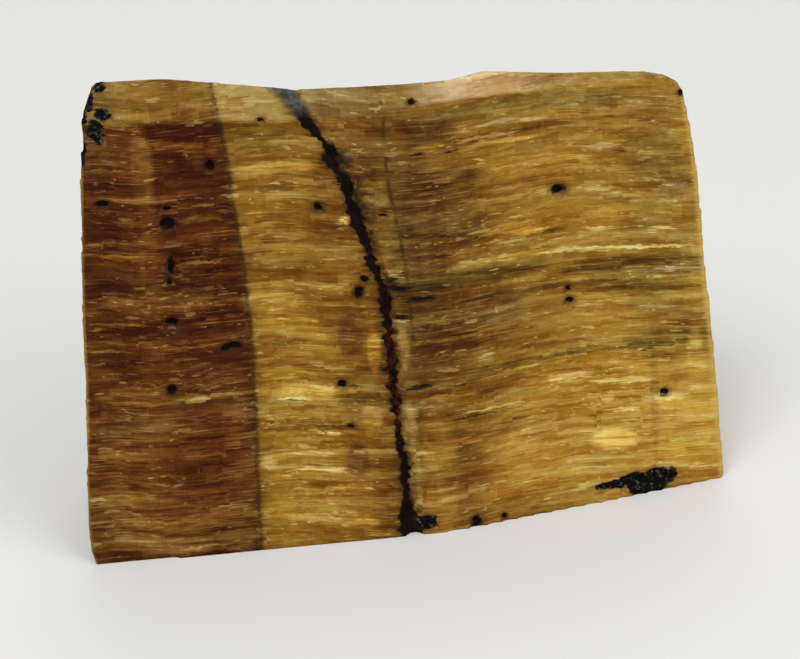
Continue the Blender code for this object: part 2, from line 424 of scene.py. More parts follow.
def makeRamp(share, stops):
    made = newNode("ShaderNodeValToRGB", {0: share})
    elements = made.color_ramp.elements
    elements.remove(elements[1])
    for number, (spot, colour) in enumerate(stops):
        element = elements[0] if number == 0 else elements.new(spot)
        element.position = spot
        element.color = (*colour, 1)
    return made.outputs[0]


def rampAlong(place, stops, span):
    low, high = span
    stops = [((spot - low) / (high - low), colour) for spot, colour in stops]
    return makeRamp(evenRange(place, low, high), stops)


def newGroup(name, inputs, outputs):
    # an input's starting value tells its kind
    tree = bpy.data.node_groups.new(name, "ShaderNodeTree")
    kinds = {1: "NodeSocketFloat", 3: "NodeSocketVector", 4: "NodeSocketColor"}
    for socketName, value in inputs.items():
        kind = kinds[len(value) if isinstance(value, tuple) else 1]
        tree.interface.new_socket(socketName, in_out="INPUT", socket_type=kind).default_value = value
    for socketName, number in outputs.items():
        tree.interface.new_socket(socketName, in_out="OUTPUT", socket_type=kinds[number])
    return tree, tree.nodes.new("NodeGroupInput").outputs, tree.nodes.new("NodeGroupOutput").inputs


def useGroup(group, inputs):
    return newNode("ShaderNodeGroup", inputs, node_tree=group).outputs


def stretchedNoise(place, sizes, detail=2.0, seed=0.0):
    moved = vectorMath("ADD", vectorMath("DIVIDE", place, sizes), (seed, seed, seed))
    return newNode("ShaderNodeTexNoise", {"Vector": moved, "Scale": 1, "Detail": detail}).outputs[0]


fibreHabit = {
    # slow sway of the fibres: noise size along X, Y and Z, detail, and how far it takes them
    "sway": ((16, 5, 5), 2),
    "swayReach": 0.48,
    # blocks of fibres sit a little higher or lower than the next: rows and columns in a millimetre
    "blockRows": 0.45,
    "blockColumns": 0.21,
    "blockRowShift": 9.0,
    "blockReach": 0.44,
    # the growth sheets wander: noise size, detail, seed, and how far it takes them
    "wander": ((20, 2.5, 2.5), 5, 7),
    "wanderReach": 0.7,
    "streakRoughness": 0.55,
    # cells that hold one fibre bundle or one fibre end
    "cellRowShift": 37.0,
    "cellDepths": 0.8,
    # a short fibre end in its cell: half lengths, height, edge, faintest
    "endHalfLengths": (0.15, 0.5),
    "endFlatness": 2.2,
    "endEdge": (0.75, 1.05),
    "endFaintest": 0.18,
}

fibreInputs = {"Along": 0.0, "Height": 0.0, "Depth": 0.0, "Length": 6.0, "Width": 0.5, "Seed": 0.0}


def makeFibreSpace():
    # turns a place on the stone into its place among the fibres and the growth sheets
    habit, layout = fibreHabit, stoneLayout
    names = ("Along", "Height", "Stepped height", "Depth", "Growth", "FromVein", "FromSecond", "AboveBevel",
             "Level", "Side")
    tree, given, out = newGroup("fibreSpace", {"Position": (0.0, 0.0, 0.0)}, {name: 1 for name in names})
    place = inMillimetres(given["Position"])
    split = newNode("ShaderNodeSeparateXYZ", {0: place}).outputs
    x, y, z = split[0], split[1], split[2]
    height = minus(z, curveValue(layout["fibreRise"], x))
    height = jog(height, stretchedNoise(place, *habit["sway"]), habit["swayReach"])
    blockRow = doMath("FLOOR", times(height, habit["blockRows"]))
    rowChance = newNode("ShaderNodeTexWhiteNoise", {1: blockRow}, noise_dimensions="1D").outputs[0]
    block = doMath("FLOOR", timesPlus(rowChance, habit["blockRowShift"], times(x, habit["blockColumns"])))
    blockChance = newNode("ShaderNodeTexWhiteNoise", {0: vectorFrom(block, blockRow)},
                          noise_dimensions="2D").outputs[0]
    # depth behind the show face and its bevel, as in frontY
    pastTurn = minus(x, layout["turnX"])
    bowed = doMath("SQRT", timesPlus(pastTurn, pastTurn, layout["turnSoftness"] ** 2))
    past = times(plus(pastTurn, bowed), 0.5)
    left, right = math.tan(layout["leftPlanAngle"]), math.tan(layout["rightPlanAngle"])
    lean, bevelLean = math.tan(layout["faceLean"]), math.tan(layout["bevelLean"])
    aboveBevel = minus(z, curveValue(layout["bevelEdge"], x))
    front = timesPlus(z, lean, layout["faceFootY"])
    for value, slope in ((x, left), (past, right - left), (largest(aboveBevel, 0), bevelLean - lean)):
        front = timesPlus(value, slope, front)
    depth = minus(y, front)
    along = timesPlus(depth, -layout["sheetDrift"], x)
    wandered = jog(along, stretchedNoise(place, *habit["wander"]), habit["wanderReach"])
    results = {"Along": along, "Height": height, "Depth": depth, "AboveBevel": aboveBevel, "Level": z,
               "Side": x, "Stepped height": jog(height, blockChance, habit["blockReach"])}
    for name, curve in (("Growth", "bandEdge"), ("FromVein", "vein"), ("FromSecond", "secondLine")):
        results[name] = minus(wandered, curveValue(layout[curve], z))
    for name, value in results.items():
        tree.links.new(value, out[name])
    return tree


def makeStreaks():
    # noise drawn out along the fibres, cut to a mask between two levels
    tree, given, out = newGroup("fibreStreaks", {**fibreInputs, "Low": 0.3, "High": 0.7, "Detail": 2.0},
                                {"Mask": 1})
    place = vectorFrom(over(given["Along"], given["Length"]), over(given["Height"], given["Width"]),
                       over(given["Depth"], given["Width"]))
    noise = newNode("ShaderNodeTexNoise", {
        "Vector": vectorMath("ADD", place, given["Seed"]), "Scale": 1, "Detail": given["Detail"],
        "Roughness": fibreHabit["streakRoughness"]}).outputs[0]
    tree.links.new(mapRange(noise, given["Low"], given["High"]), out["Mask"])
    return tree


def chances(*wholes):
    return newNode("ShaderNodeTexWhiteNoise", {0: vectorFrom(*wholes)}, noise_dimensions="3D").outputs


def fibreCells(given):
    # cuts the fibres into rows, and each row into cells at places of its own
    rowPlace = over(given["Height"], given["Width"])
    row = doMath("FLOOR", rowPlace)
    deepRow = doMath("FLOOR", timesPlus(given["Depth"], fibreHabit["cellDepths"], 0.5))
    cellPlace = timesPlus(chances(row, deepRow, given["Seed"])[0], fibreHabit["cellRowShift"],
                          over(given["Along"], given["Length"]))
    return cellPlace, rowPlace, chances(doMath("FLOOR", cellPlace), row, plus(deepRow, given["Seed"]))


def makeBundles():
    # fibre bundles of even tone, each row broken at its own places
    tree, given, out = newGroup("fibreBundles", fibreInputs, {"Tone": 1})
    tree.links.new(fibreCells(given)[2][0], out["Tone"])
    return tree


def makeSplinters():
    # short separate fibre ends, each in its own cell of the bundle
    tree, given, out = newGroup("fibreSplinters", {**fibreInputs, "Share": 0.1}, {"Mask": 1})
    cellPlace, rowPlace, cellChances = fibreCells(given)
    chosen = doMath("LESS_THAN", cellChances[0], given["Share"])
    split = newNode("ShaderNodeSeparateColor", {0: cellChances[1]}).outputs
    # how far from the middle of the cell, with a length of its own
    aside, above = [minus(doMath("FRACT", spot), 0.5) for spot in (cellPlace, rowPlace)]
    halfLength = evenRange(split[1], 0, 1, *fibreHabit["endHalfLengths"])
    apart = vectorMath("LENGTH", vectorFrom(over(aside, halfLength), times(above, fibreHabit["endFlatness"])))
    shape = mapRange(apart, *fibreHabit["endEdge"], 1, 0)
    strength = evenRange(times(split[2], split[2]), 0, 1, fibreHabit["endFaintest"], 1)
    tree.links.new(times(chosen, shape, strength), out["Mask"])
    return tree


patchInputs = {"Along": 0.0, "Height": 0.0, "Middle along": 0.0, "Middle height": 0.0, "Half length": 1.0,
               "Half height": 1.0}


def addPatchShape(given):
    # how far a place lies from a patch's middle, where 1 is its edge
    aside = over(minus(given["Along"], given["Middle along"]), given["Half length"])
    above = over(minus(given["Height"], given["Middle height"]), given["Half height"])
    return vectorMath("LENGTH", vectorFrom(aside, above))


def makeTintPatch():
    # lays a tint over part of the show face
    white = (1.0, 1.0, 1.0, 1.0)
    tree, given, out = newGroup("tintPatch", {**patchInputs, "Colour": white, "Tint": white, "Strength": 0.5,
                                              "Core": 0.55, "Grain": 1.0}, {"Colour": 4})
    share = mapRange(addPatchShape(given), given["Core"], 1.0, given["Strength"], 0)
    tree.links.new(lay(given["Colour"], given["Tint"], share, given["Grain"]), out["Colour"])
    return tree


def makeSpot():
    # keeps the distance to the nearest of many spots
    tree, given, out = newGroup("nearestSpot", {**patchInputs, "Nearest": 9.0}, {"Nearest": 1})
    tree.links.new(doMath("MINIMUM", addPatchShape(given), given["Nearest"]), out["Nearest"])
    return tree


# colours are linear
silkyStone = {
    # colour of the growth sheets, by their distance from the brown band's edge
    "sheets": [
        (-17.5, (0.15, 0.065, 0.010)), (-16, (0.100, 0.032, 0.0040)), (-12, (0.090, 0.024, 0.0028)),
        (-10.2, (0.125, 0.038, 0.0045)), (-8.2, (0.125, 0.038, 0.0045)), (-7.2, (0.078, 0.018, 0.0020)),
        (-1.2, (0.078, 0.018, 0.0020)), (-0.4, (0.065, 0.020, 0.0030)), (-0.08, (0.06, 0.022, 0.0035)),
        (0.08, (0.21, 0.105, 0.013)), (2, (0.25, 0.128, 0.016)), (8, (0.245, 0.120, 0.014)),
        (12, (0.21, 0.095, 0.012)), (15.8, (0.19, 0.098, 0.016)), (16.6, (0.18, 0.080, 0.011)),
        (20, (0.20, 0.092, 0.012)), (26, (0.28, 0.148, 0.020)), (40, (0.34, 0.188, 0.027)),
        (48, (0.39, 0.225, 0.036)),
    ],
    "sheetSpan": (-20, 50),
    # painted sheen and highlight of the bevel above the face, along X
    "bevel": [
        (-32, (0.20, 0.12, 0.03)), (-26, (0.25, 0.14, 0.026)), (-18.6, (0.26, 0.145, 0.028)),
        (-17.9, (0.20, 0.11, 0.024)), (-17.4, (0.40, 0.27, 0.075)), (-12, (0.40, 0.28, 0.09)),
        (-8, (0.22, 0.13, 0.035)), (-3, (0.24, 0.14, 0.035)), (0.5, (0.33, 0.20, 0.06)),
        (5, (0.62, 0.46, 0.26)), (11, (0.57, 0.41, 0.21)), (15, (0.30, 0.18, 0.05)), (22, (0.36, 0.22, 0.07)),
        (27, (0.30, 0.18, 0.05)), (31, (0.26, 0.16, 0.04)),
    ],
    "bevelSpan": (-35, 35),
    "tints": {
        "black": (0.004, 0.0022, 0.0015, 1), "umber": (0.045, 0.017, 0.004, 1),
        "red": (0.075, 0.020, 0.004, 1), "rust": (0.135, 0.037, 0.006, 1), "brown": (0.15, 0.06, 0.011, 1),
        "warm": (0.19, 0.085, 0.014, 1), "olive": (0.11, 0.060, 0.010, 1), "gold": (0.33, 0.175, 0.026, 1),
        "bright": (0.46, 0.26, 0.042, 1), "tawny": (0.20, 0.085, 0.016, 1), "orange": (0.48, 0.22, 0.03, 1),
        "yellow": (0.60, 0.38, 0.075, 1), "cream": (0.74, 0.57, 0.185, 1), "straw": (0.74, 0.50, 0.11, 1),
        "pink": (0.56, 0.41, 0.19, 1), "green": (0.20, 0.128, 0.026, 1), "sage": (0.36, 0.24, 0.062, 1),
        "grey": (0.36, 0.27, 0.125, 1),
    },
    # patches at least this half height are painted on the mesh, and thinner ones are drawn by the shader
    "broadFrom": 0.6,
    "broadSoftness": 0.45,
    # tinted parts of the show face: x, z, half length, half height, tint, strength
    "patches": [
        # broad shades under everything else
        (2, 5.5, 2.8, 7.5, "bright", 0.6), (-18, 10, 2.4, 12, "brown", 0.5), (-12, 19.5, 5, 5, "bright", 0.4),
        (19.5, 17, 6, 8, "bright", 0.45), (7.5, 20.5, 5, 3.8, "brown", 0.9), (10, 6, 3.6, 3, "warm", 0.5),
        (14, 34.5, 7, 3, "bright", 0.35), (-2.5, 35.5, 2.6, 5, "umber", 0.35),
        (-6.5, 29.8, 2.2, 3, "brown", 0.35), (-6.5, 38.5, 2.4, 2, "brown", 0.35),
        (2.2, 38.5, 3.4, 2.6, "umber", 0.25), (-24, 26, 6, 2.6, "red", 0.8),
        (-30, 37.5, 2.2, 3.4, "red", 0.8), (-30, 8, 2.6, 7, "umber", 0.25), (-26, 2, 3, 2, "umber", 0.25),
        (-17.9, 6, 2.2, 10, "tawny", 0.6), (-7, 33, 3.8, 8, "brown", 0.3),
        (-14, 2.5, 2.8, 3.4, "bright", 0.45), (-14, 26, 2.4, 3, "bright", 0.4),
        (30, 15.5, 2.6, 3, "olive", 0.45), (30, 7, 3.2, 9, "yellow", 0.5), (-14.5, 34, 3, 3, "bright", 0.35),
        (14, 12, 5, 4, "bright", 0.35), (10, 4.5, 9, 4, "orange", 0.35), (-21, 19.5, 5, 4.5, "rust", 0.45),
        (26, 24, 5, 14, "green", 0.35), (25, 38.5, 6, 2.4, "green", 0.4), (-4.5, 14, 2, 2.5, "green", 0.3),
        # brown band
        (-24.5, 7.5, 9.5, 9, "tawny", 0.75), (-29, 39.2, 2.6, 2.4, "tawny", 0.5),
        (-25.3, 37, 1.3, 5, "tawny", 0.8), (-25.2, 28, 1.2, 5, "tawny", 0.45),
        (-20.5, 40.6, 3.3, 1, "red", 0.9), (-29, 37.4, 2.5, 0.2, "gold", 0.45),
        (-27.5, 35.6, 3.4, 0.6, "red", 0.6), (-29.5, 33, 2, 1, "red", 0.5),
        (-23.5, 32.2, 7, 0.45, "tawny", 0.6), (-28, 30.4, 3.5, 0.8, "red", 0.7),
        (-27.6, 29.2, 3, 0.3, "bright", 0.4), (-29, 27.3, 3, 1.3, "red", 0.75),
        (-20.5, 29.5, 3, 1.4, "red", 0.5), (-20, 28.2, 3.4, 0.16, "bright", 0.4),
        (-24, 24.8, 7.5, 1.2, "tawny", 0.6), (-28.5, 22.9, 3.8, 0.22, "bright", 0.5),
        (-23, 21.6, 8, 0.7, "red", 0.85), (-21.5, 20.3, 4, 0.15, "gold", 0.4),
        (-19.8, 18.6, 4, 1.2, "red", 0.75), (-29, 19.6, 3.2, 0.9, "red", 0.65),
        (-29.5, 20.4, 2.8, 0.18, "gold", 0.5), (-27, 16.1, 6, 1, "tawny", 0.9),
        (-27.5, 15.3, 4, 0.25, "bright", 0.4), (-19.5, 15.4, 4.5, 0.35, "gold", 0.5),
        (-20.5, 13.2, 4.8, 1.4, "rust", 0.8), (-29, 13.3, 3, 0.7, "red", 0.6),
        (-21, 9.6, 5.4, 2.6, "rust", 0.8), (-29, 10.2, 3.2, 0.5, "gold", 0.45),
        (-29.5, 8.6, 3, 0.8, "rust", 0.5), (-29.5, 6.3, 3.6, 0.4, "gold", 0.5),
        (-20, 6.2, 5, 1.2, "rust", 0.7), (-24, 2.2, 9, 2, "tawny", 0.8),
        (-26.5, 3.6, 4.5, 0.3, "gold", 0.35), (-21, 1.5, 4.5, 0.8, "olive", 0.3),
        # gold band
        (-10, 8, 7, 9, "bright", 0.4), (-13.5, 39.6, 4.2, 1.5, "green", 0.4),
        (-13.6, 40.9, 3.6, 0.3, "bright", 0.4), (-13.3, 36.7, 4.6, 0.7, "yellow", 0.5),
        (-9.9, 36.6, 1.35, 0.6, "orange", 0.7), (-12.5, 34.7, 3.6, 0.5, "olive", 0.4),
        (-7.4, 33.8, 2.2, 2.8, "warm", 0.45), (-15.3, 31, 1.4, 2.4, "bright", 0.25),
        (-8.2, 29.5, 2.6, 1.6, "warm", 0.45), (-13.5, 27.2, 4.5, 1.2, "warm", 0.45),
        (-13.6, 23.9, 3.6, 1.4, "yellow", 0.45), (-6.2, 20.2, 1.6, 3, "brown", 0.85),
        (-6.2, 15.8, 1.8, 1, "olive", 0.5), (-3.9, 18.6, 0.9, 2.7, "bright", 0.8),
        (-13, 19.9, 3.2, 0.25, "brown", 0.6), (-12.5, 17.8, 4, 0.3, "warm", 0.5),
        (-11.6, 15.2, 5, 1, "yellow", 0.55), (-8.9, 14.8, 1.2, 0.75, "yellow", 0.6),
        (-11.9, 14.3, 2, 0.28, "cream", 0.95), (-6.2, 13.8, 1.8, 0.9, "olive", 0.5),
        (-11, 11.5, 6, 0.35, "warm", 0.7), (-4.5, 12, 1.4, 1.6, "yellow", 0.45),
        (-6, 8, 1.6, 2.3, "brown", 0.85), (-10.6, 9, 3, 0.25, "cream", 0.7),
        (-8.2, 10.7, 1.1, 0.2, "cream", 0.8), (-9.8, 7.4, 3.4, 0.28, "cream", 0.75),
        (-12.5, 8, 3.6, 2.4, "bright", 0.4), (-14.8, 8.6, 0.9, 1, "cream", 0.4),
        (-10.5, 2.6, 3, 0.5, "cream", 0.45), (-6, 1.9, 2.2, 0.9, "yellow", 0.6),
        (-6.5, 5.3, 2.6, 0.4, "yellow", 0.5),
        # between the vein and the second line
        (1.2, 26, 3.6, 13.5, "umber", 0.55), (-4.4, 39.2, 3.4, 2.2, "brown", 0.55),
        (-5.1, 35.3, 1, 0.5, "umber", 0.8), (-4.1, 33.7, 0.8, 0.45, "umber", 0.7),
        (-5.9, 37.8, 0.9, 0.4, "umber", 0.7), (-6.1, 31.3, 0.8, 0.5, "cream", 0.9),
        (-5.4, 37.3, 1, 0.5, "grey", 0.7), (-4.6, 36.2, 1, 0.3, "sage", 0.8),
        (-3.1, 34.6, 1.6, 0.8, "warm", 0.5), (-3, 32.8, 1.6, 0.9, "sage", 0.55),
        (-3.9, 32.4, 0.7, 0.25, "grey", 0.8), (-2.1, 29, 1.4, 1.6, "green", 0.6),
        (-1.9, 26, 1.4, 0.5, "sage", 0.9), (-1.6, 25.2, 1.1, 0.3, "grey", 0.8),
        (-0.8, 24, 2.2, 0.9, "olive", 0.8), (-1.4, 21.2, 1.1, 0.25, "grey", 0.8),
        (-1.1, 18.3, 0.85, 2.8, "sage", 0.9), (-0.8, 10.8, 0.9, 3.4, "sage", 0.9),
        (-0.3, 5.4, 1, 3.4, "sage", 0.9), (0.9, 5.6, 1.2, 1.3, "green", 0.5),
        # right of the second line
        (2.6, 39, 3.5, 1.9, "umber", 0.35), (13, 40.4, 14, 0.9, "green", 0.75),
        (20, 39.3, 9, 0.5, "green", 0.5), (9.5, 38.9, 2.6, 0.25, "grey", 0.8),
        (8.5, 37.75, 4, 0.24, "pink", 0.95), (2.5, 37.4, 2, 0.5, "gold", 0.6),
        (9.8, 37.1, 4.5, 0.25, "yellow", 0.6), (13.5, 38.6, 1.2, 0.2, "pink", 0.5),
        (15, 37.9, 5, 0.4, "brown", 0.6), (4.5, 33.2, 3.8, 3.4, "red", 0.5),
        (12.5, 36.1, 4, 0.4, "brown", 0.5), (13.5, 34.6, 7.5, 0.3, "yellow", 0.6),
        (20.3, 35.1, 2.4, 0.35, "pink", 0.55), (26.5, 36.7, 4, 0.4, "brown", 0.4),
        (10, 31.6, 3.4, 0.35, "yellow", 0.4), (5.2, 29.6, 3.6, 2.3, "red", 0.5),
        (17, 32, 8, 2.2, "gold", 0.45), (26, 33.6, 4.2, 3.2, "green", 0.45),
        (27.5, 31, 3, 2.4, "green", 0.75), (28.2, 30.1, 1.9, 0.5, "grey", 0.9),
        (20, 31, 2.4, 0.35, "cream", 0.35), (15.5, 28.7, 9.5, 1.9, "orange", 0.28),
        (12.2, 28.1, 1.8, 0.55, "yellow", 0.9), (19.8, 27.2, 2, 0.22, "cream", 0.75),
        (26.5, 26.1, 2.2, 0.25, "cream", 0.7), (12, 25.9, 7, 0.35, "yellow", 0.65),
        (21.5, 25, 10.5, 0.26, "cream", 0.9), (7, 24.5, 9, 1.1, "olive", 0.9),
        (23.5, 22.9, 10, 1.3, "olive", 0.7), (14, 22.3, 16, 0.4, "umber", 0.55),
        (24.5, 20.6, 8.5, 0.5, "umber", 0.5), (9, 20.6, 8, 0.9, "olive", 0.45),
        (27.7, 22, 2.8, 0.3, "pink", 0.6), (4.5, 18, 3, 3.6, "red", 0.5),
        (18.8, 19.6, 2.4, 0.3, "pink", 0.35), (14, 19, 8, 1.2, "gold", 0.35), (25, 18.6, 3, 0.3, "pink", 0.5),
        (13, 16.6, 9, 0.35, "brown", 0.6), (12, 15.5, 8, 0.3, "umber", 0.6),
        (27.5, 15, 7, 1.2, "olive", 0.5), (22, 15.2, 8, 0.45, "olive", 0.6),
        (3.6, 13.4, 3, 0.45, "yellow", 0.45), (5, 12.2, 3, 0.7, "gold", 0.5),
        (11, 14.9, 2.4, 0.25, "cream", 0.5), (19, 8, 14.5, 9, "bright", 0.8),
        (20, 11.6, 9.5, 2.6, "bright", 0.9), (16, 13.2, 3, 0.45, "cream", 1.3),
        (21.8, 11.9, 4, 0.4, "cream", 1), (26.8, 9.4, 2.4, 0.45, "cream", 0.9),
        (21.5, 9, 2.2, 0.3, "cream", 1.1), (10, 9.4, 8, 1.2, "warm", 0.35),
        (8, 11.5, 4.6, 0.14, "cream", 0.55), (20.8, 6.2, 3.2, 1.3, "straw", 1.3),
        (27, 6, 6, 5, "yellow", 0.5), (22, 34.4, 0.8, 0.35, "umber", 0.7),
        (24.7, 14.5, 0.5, 0.35, "umber", 0.7), (1.2, 20.5, 0.6, 0.35, "umber", 0.7),
        (14, 6.2, 5, 4.5, "bright", 0.4), (4.8, 5, 3.3, 3.6, "red", 0.35), (5.6, 8.8, 4, 0.3, "orange", 0.5),
        (11, 3.2, 6, 0.7, "orange", 0.4), (29.8, 12, 1.2, 5, "yellow", 0.45),
        (25.2, 10, 0.5, 8.5, "umber", 0.25),
    ],
    # dark thin lines along the fibres: x, z, half length, half height, strength
    "threads": [
        (-1.2, 24.3, 1.9, 0.5, 1), (-1.9, 25.1, 1.1, 0.55, 0.95), (1.2, 23.1, 2.4, 0.3, 1),
        (-0.8, 21.6, 1.1, 0.26, 0.9), (0.5, 14.7, 2.4, 0.34, 0.95), (4.5, 14.4, 3.5, 0.1, 0.6),
        (-8.4, 11.5, 4.5, 0.12, 0.6), (-5.9, 15.3, 0.8, 0.12, 0.8), (7, 11, 6.5, 0.12, 0.8),
        (-12, 14.2, 1.7, 0.15, 0.8), (1.2, 36.9, 1, 0.22, 0.9), (4.8, 36.8, 1, 0.2, 0.8),
        (15, 27.7, 1.6, 0.25, 0.7), (14, 29.9, 1.2, 0.15, 0.5),
    ],
    "threadCore": 0.3,
    # pits and holes, their black cores painted shade in the hollows: x, z, half length, half height
    "pits": [
        (29.2, 38.9, 0.5, 0.35), (-18.8, 37.2, 0.5, 0.4), (-8.6, 32.5, 0.45, 0.4), (-23.2, 32, 0.85, 0.55),
        (-23.1, 28, 0.3, 0.9), (-23.4, 22.7, 0.6, 0.4), (-23.8, 16.2, 0.45, 0.45), (-5.1, 24.2, 0.45, 0.45),
        (-7.2, 15.4, 0.45, 0.4), (15.6, 31.4, 0.75, 0.45), (16.4, 20.4, 0.45, 0.4), (16.3, 21.6, 0.3, 0.3),
        (26.3, 9.8, 0.45, 0.3), (5.7, 0.5, 0.55, 0.6), (-13.7, 41, 0.35, 0.15), (-29.3, 34.2, 0.7, 0.25),
        (-17.7, 20, 1, 0.28), (-2.4, 31.4, 0.4, 0.15), (-23.2, 33.4, 0.35, 0.2), (-4.5, 25.4, 0.4, 0.3),
        (-23.3, 26.6, 0.25, 0.3), (8.6, 0.4, 0.3, 0.3), (-6.5, 11.3, 0.35, 0.2), (1, 41.7, 0.4, 0.15),
    ],
    # black granular crust: x, z, half length, half height
    "crusts": [(-29.5, 40.8, 0.9, 1.2), (-28.6, 42.2, 0.9, 0.5), (-31.0, 39.2, 0.5, 1.2),
               (-30.8, 42.2, 0.7, 0.9), (-29.9, 43.2, 0.7, 0.8), (20.6, 1.6, 2.2, 0.5),
               (23.2, 1.4, 2.3, 1.0), (25.3, 1.2, 1.9, 1.2), (24.2, 0.4, 2.2, 0.7), (26.9, 1.6, 0.6, 0.6),
               (0.6, 1.4, 1.2, 0.8), (-28.9, 44.3, 0.9, 0.7)],
    # where the painted glints on bright fibre ends crowd: x, z, half length, half height
    "glints": [(-12, 13, 6, 4), (-10, 5, 6, 4), (18, 11, 11, 4), (-24, 25, 8, 3), (-22, 17, 8, 1.5),
               (8, 28, 8, 3)],
    # drawn marks stop this deep behind the face, where they are moved out of reach
    "markDepth": 1.3,
    "outOfReach": 500.0,
    # how far fibre ends tear the edges of patches, spots and bundles
    "patchTear": 1.6,
    "spotTear": 0.3,
    "bundleTear": 0.18,
    # streaks along the fibres: length, width, seed, where the mask starts and is full, detail
    "streaks": {
        "torn": (3.0, 0.16, 71.0, 0.2, 0.8, 3.0),
        "frayed": (1.1, 0.5, 83.0, 0.2, 0.8),
        "patch grain": (4.5, 0.3, 67.0, 0.32, 0.6),
        "clumps": (4.5, 1.1, 55.0, 0.42, 0.66, 3.0),
        "paleGlints": (5, 0.17, 95.0, 0.6, 0.7),
        "deep": (6.5, 0.18, 105.0, 0.6, 0.68),
        "edge line": (1.2, 0.35, 51.0, 0.35, 0.6),
        "second line": (30, 1.6, 91.0, 0.38, 0.62),
        "vein swerve": (2.0, 1.6, 61.0),
    },
    # layers of light and dark fibres: kind, length, width, seed, share of the tone
    "toneLayers": [("streaks", 30, 1.5, 3.1, 0.22), ("streaks", 6.5, 0.65, 11.7, 0.21),
                   ("streaks", 2.0, 0.32, 23.3, 0.14), ("streaks", 0.65, 0.2, 37.9, 0.075),
                   ("bundles", 4.6, 0.6, 2.0, 0.21), ("bundles", 1.5, 0.33, 9.0, 0.145)],
    # bundles that stray in hue: length, width, seed, strength; a hue of 0.5 leaves a colour as it is
    "hueBundles": [(9, 1.2, 4.0, 0.55), (4, 0.45, 6.0, 0.45)],
    "hues": [(0.0, (0.38, 0.28, 0.20)), (0.22, (0.46, 0.42, 0.36)), (0.4, (0.5, 0.5, 0.5)),
             (0.62, (0.5, 0.5, 0.5)), (0.8, (0.47, 0.50, 0.52)), (0.9, (0.58, 0.62, 0.60)),
             (1.0, (0.66, 0.71, 0.68))],
    # painted glints on pale fibre ends, and deep fibre ends: length, width, seed, and the share of cells that
    # hold one
    "glintEnds": [(3.0, 0.42, 5.0, 0.6), (1.7, 0.2, 15.0, 1.0), (0.8, 0.15, 45.0, 1.0)],
    "deepEnds": [(3.2, 0.25, 25.0, 0.07), (1.2, 0.17, 35.0, 0.12)],
    # streaks among them, then how the ends bend the colour and how much of them shows
    "glintStreaks": 0.55,
    "glintBend": 0.45,
    "glintTint": (1.0, 0.98, 0.66),
    "glintShare": 0.75,
    "deepStreaks": 0.9,
    "deepBend": 1.5,
    "deepShare": 0.6,
    # the vein's uneven walls, its red stretch and its stain
    "veinGrain": ((0.5, 0.5, 0.5), 3),
    "veinBites": ((1.5, 0.8, 0.8), 4, 5),
    "veinSwerve": 0.5,
    "veinDark": (0.004, 0.0022, 0.0016, 1),
    "veinRed": (0.045, 0.008, 0.003, 1),
    "veinGrey": (0.095, 0.096, 0.090, 1),
    "redMiddle": 15.0,
    "stainColour": (0.020, 0.015, 0.006, 1),
    "stainMiddle": 34.25,
    # the dark edge line's distance from the edge of the brown band
    "edgeLineAt": -0.2,
    # colour of the painted rim light along the face's two ends
    "rimLightColour": (0.58, 0.40, 0.10, 1),
    # dust and iron on the broken rear and ends: noise size, detail, seed, fade and colour
    "weather": [((11, 2.4, 2.4), 5, 17, (0.45, 0.78, 0, 0.45), (0.34, 0.20, 0.065, 1)),
                ((6, 1.6, 1.6), 6, 29, (0.52, 0.74, 0, 0.7), (0.040, 0.018, 0.007, 1))],
    "crustTones": [(0.50, (0.003, 0.0025, 0.002)), (0.58, (0.015, 0.012, 0.009)),
                   (0.66, (0.07, 0.066, 0.058)), (0.76, (0.20, 0.19, 0.175))],
    "pitRagged": 0.8,
    "haloRagged": 0.8,
    "crustRagged": 1.5,
    # how marks come and go: from, to, and the value at each
    "fades": {
        "on bevel": (-0.25, 0.2, 0, 1), "bevel depth": (0.8, 2.2, 1, 0), "glint crowd": (0.3, 1.1, 0.5, 0.13),
        "edge line": (0.06, 0.26, 0.65, 0), "second line": (0.06, 0.3, 0.85, 0),
        "second line foot": (14, 28, 0.45, 1), "vein halo": (0.0, 0.9, 0.75, 0),
        "vein halo tone": (0.2, 0.8, 1, 0.3), "stain mottle": (0.3, 0.7, 0.7, 1.5), "stain": (0.2, 2.4, 1, 0),
        "stain ends": (2.75, 4.25, 0.9, 0), "stain grain": (0.66, 0.5, 0.1, 1),
        "vein softness": (-0.5, 1.0, 0.16, 0.6), "red stretch": (3, 7, 1, 0.2),
        "red grain": (0.45, 0.62, 0, 1), "smudge": (0.0, 1.4, 0, 1), "smudge grain": (0.35, 0.65, 0.35, 1),
        "weathered": (1.4, 3.2, 0, 1), "left rim light": (0.1, 0.5, 0.5, 0), "right rim light": (0.2, 1.0, 0.8, 0),
        "rim light depth": (0.5, 1.2, 1, 0), "torn rim light": (0.2, 0.6, 0.4, 1), "pit ring": (0.9, 2.3, 0.6, 0),
        "pit": (0.7, 1.3, 1, 0), "crust halo": (1.2, 2.1, 0.25, 0), "crust": (0.8, 1.05, 1, 0),
    },
    # the same, but even between the two
    "evenFades": {
        "patch grain": (0, 0.8605, 0.3325, 1.15),
        "glint clumps": (0, 1, 0.12, 1),
        "vein bites": (0.2, 0.8, -0.45, 0.45),
        "tone bend": (0.15, 0.85, 1.5, 0.66),
        "roughness": (0.25, 0.75, 0.62, 0.42),
    },
    "dullRoughness": 0.85,
    "fibreDepth": 0.05,
    "ior": 1.54,
    "specularLevel": 0.06,
}


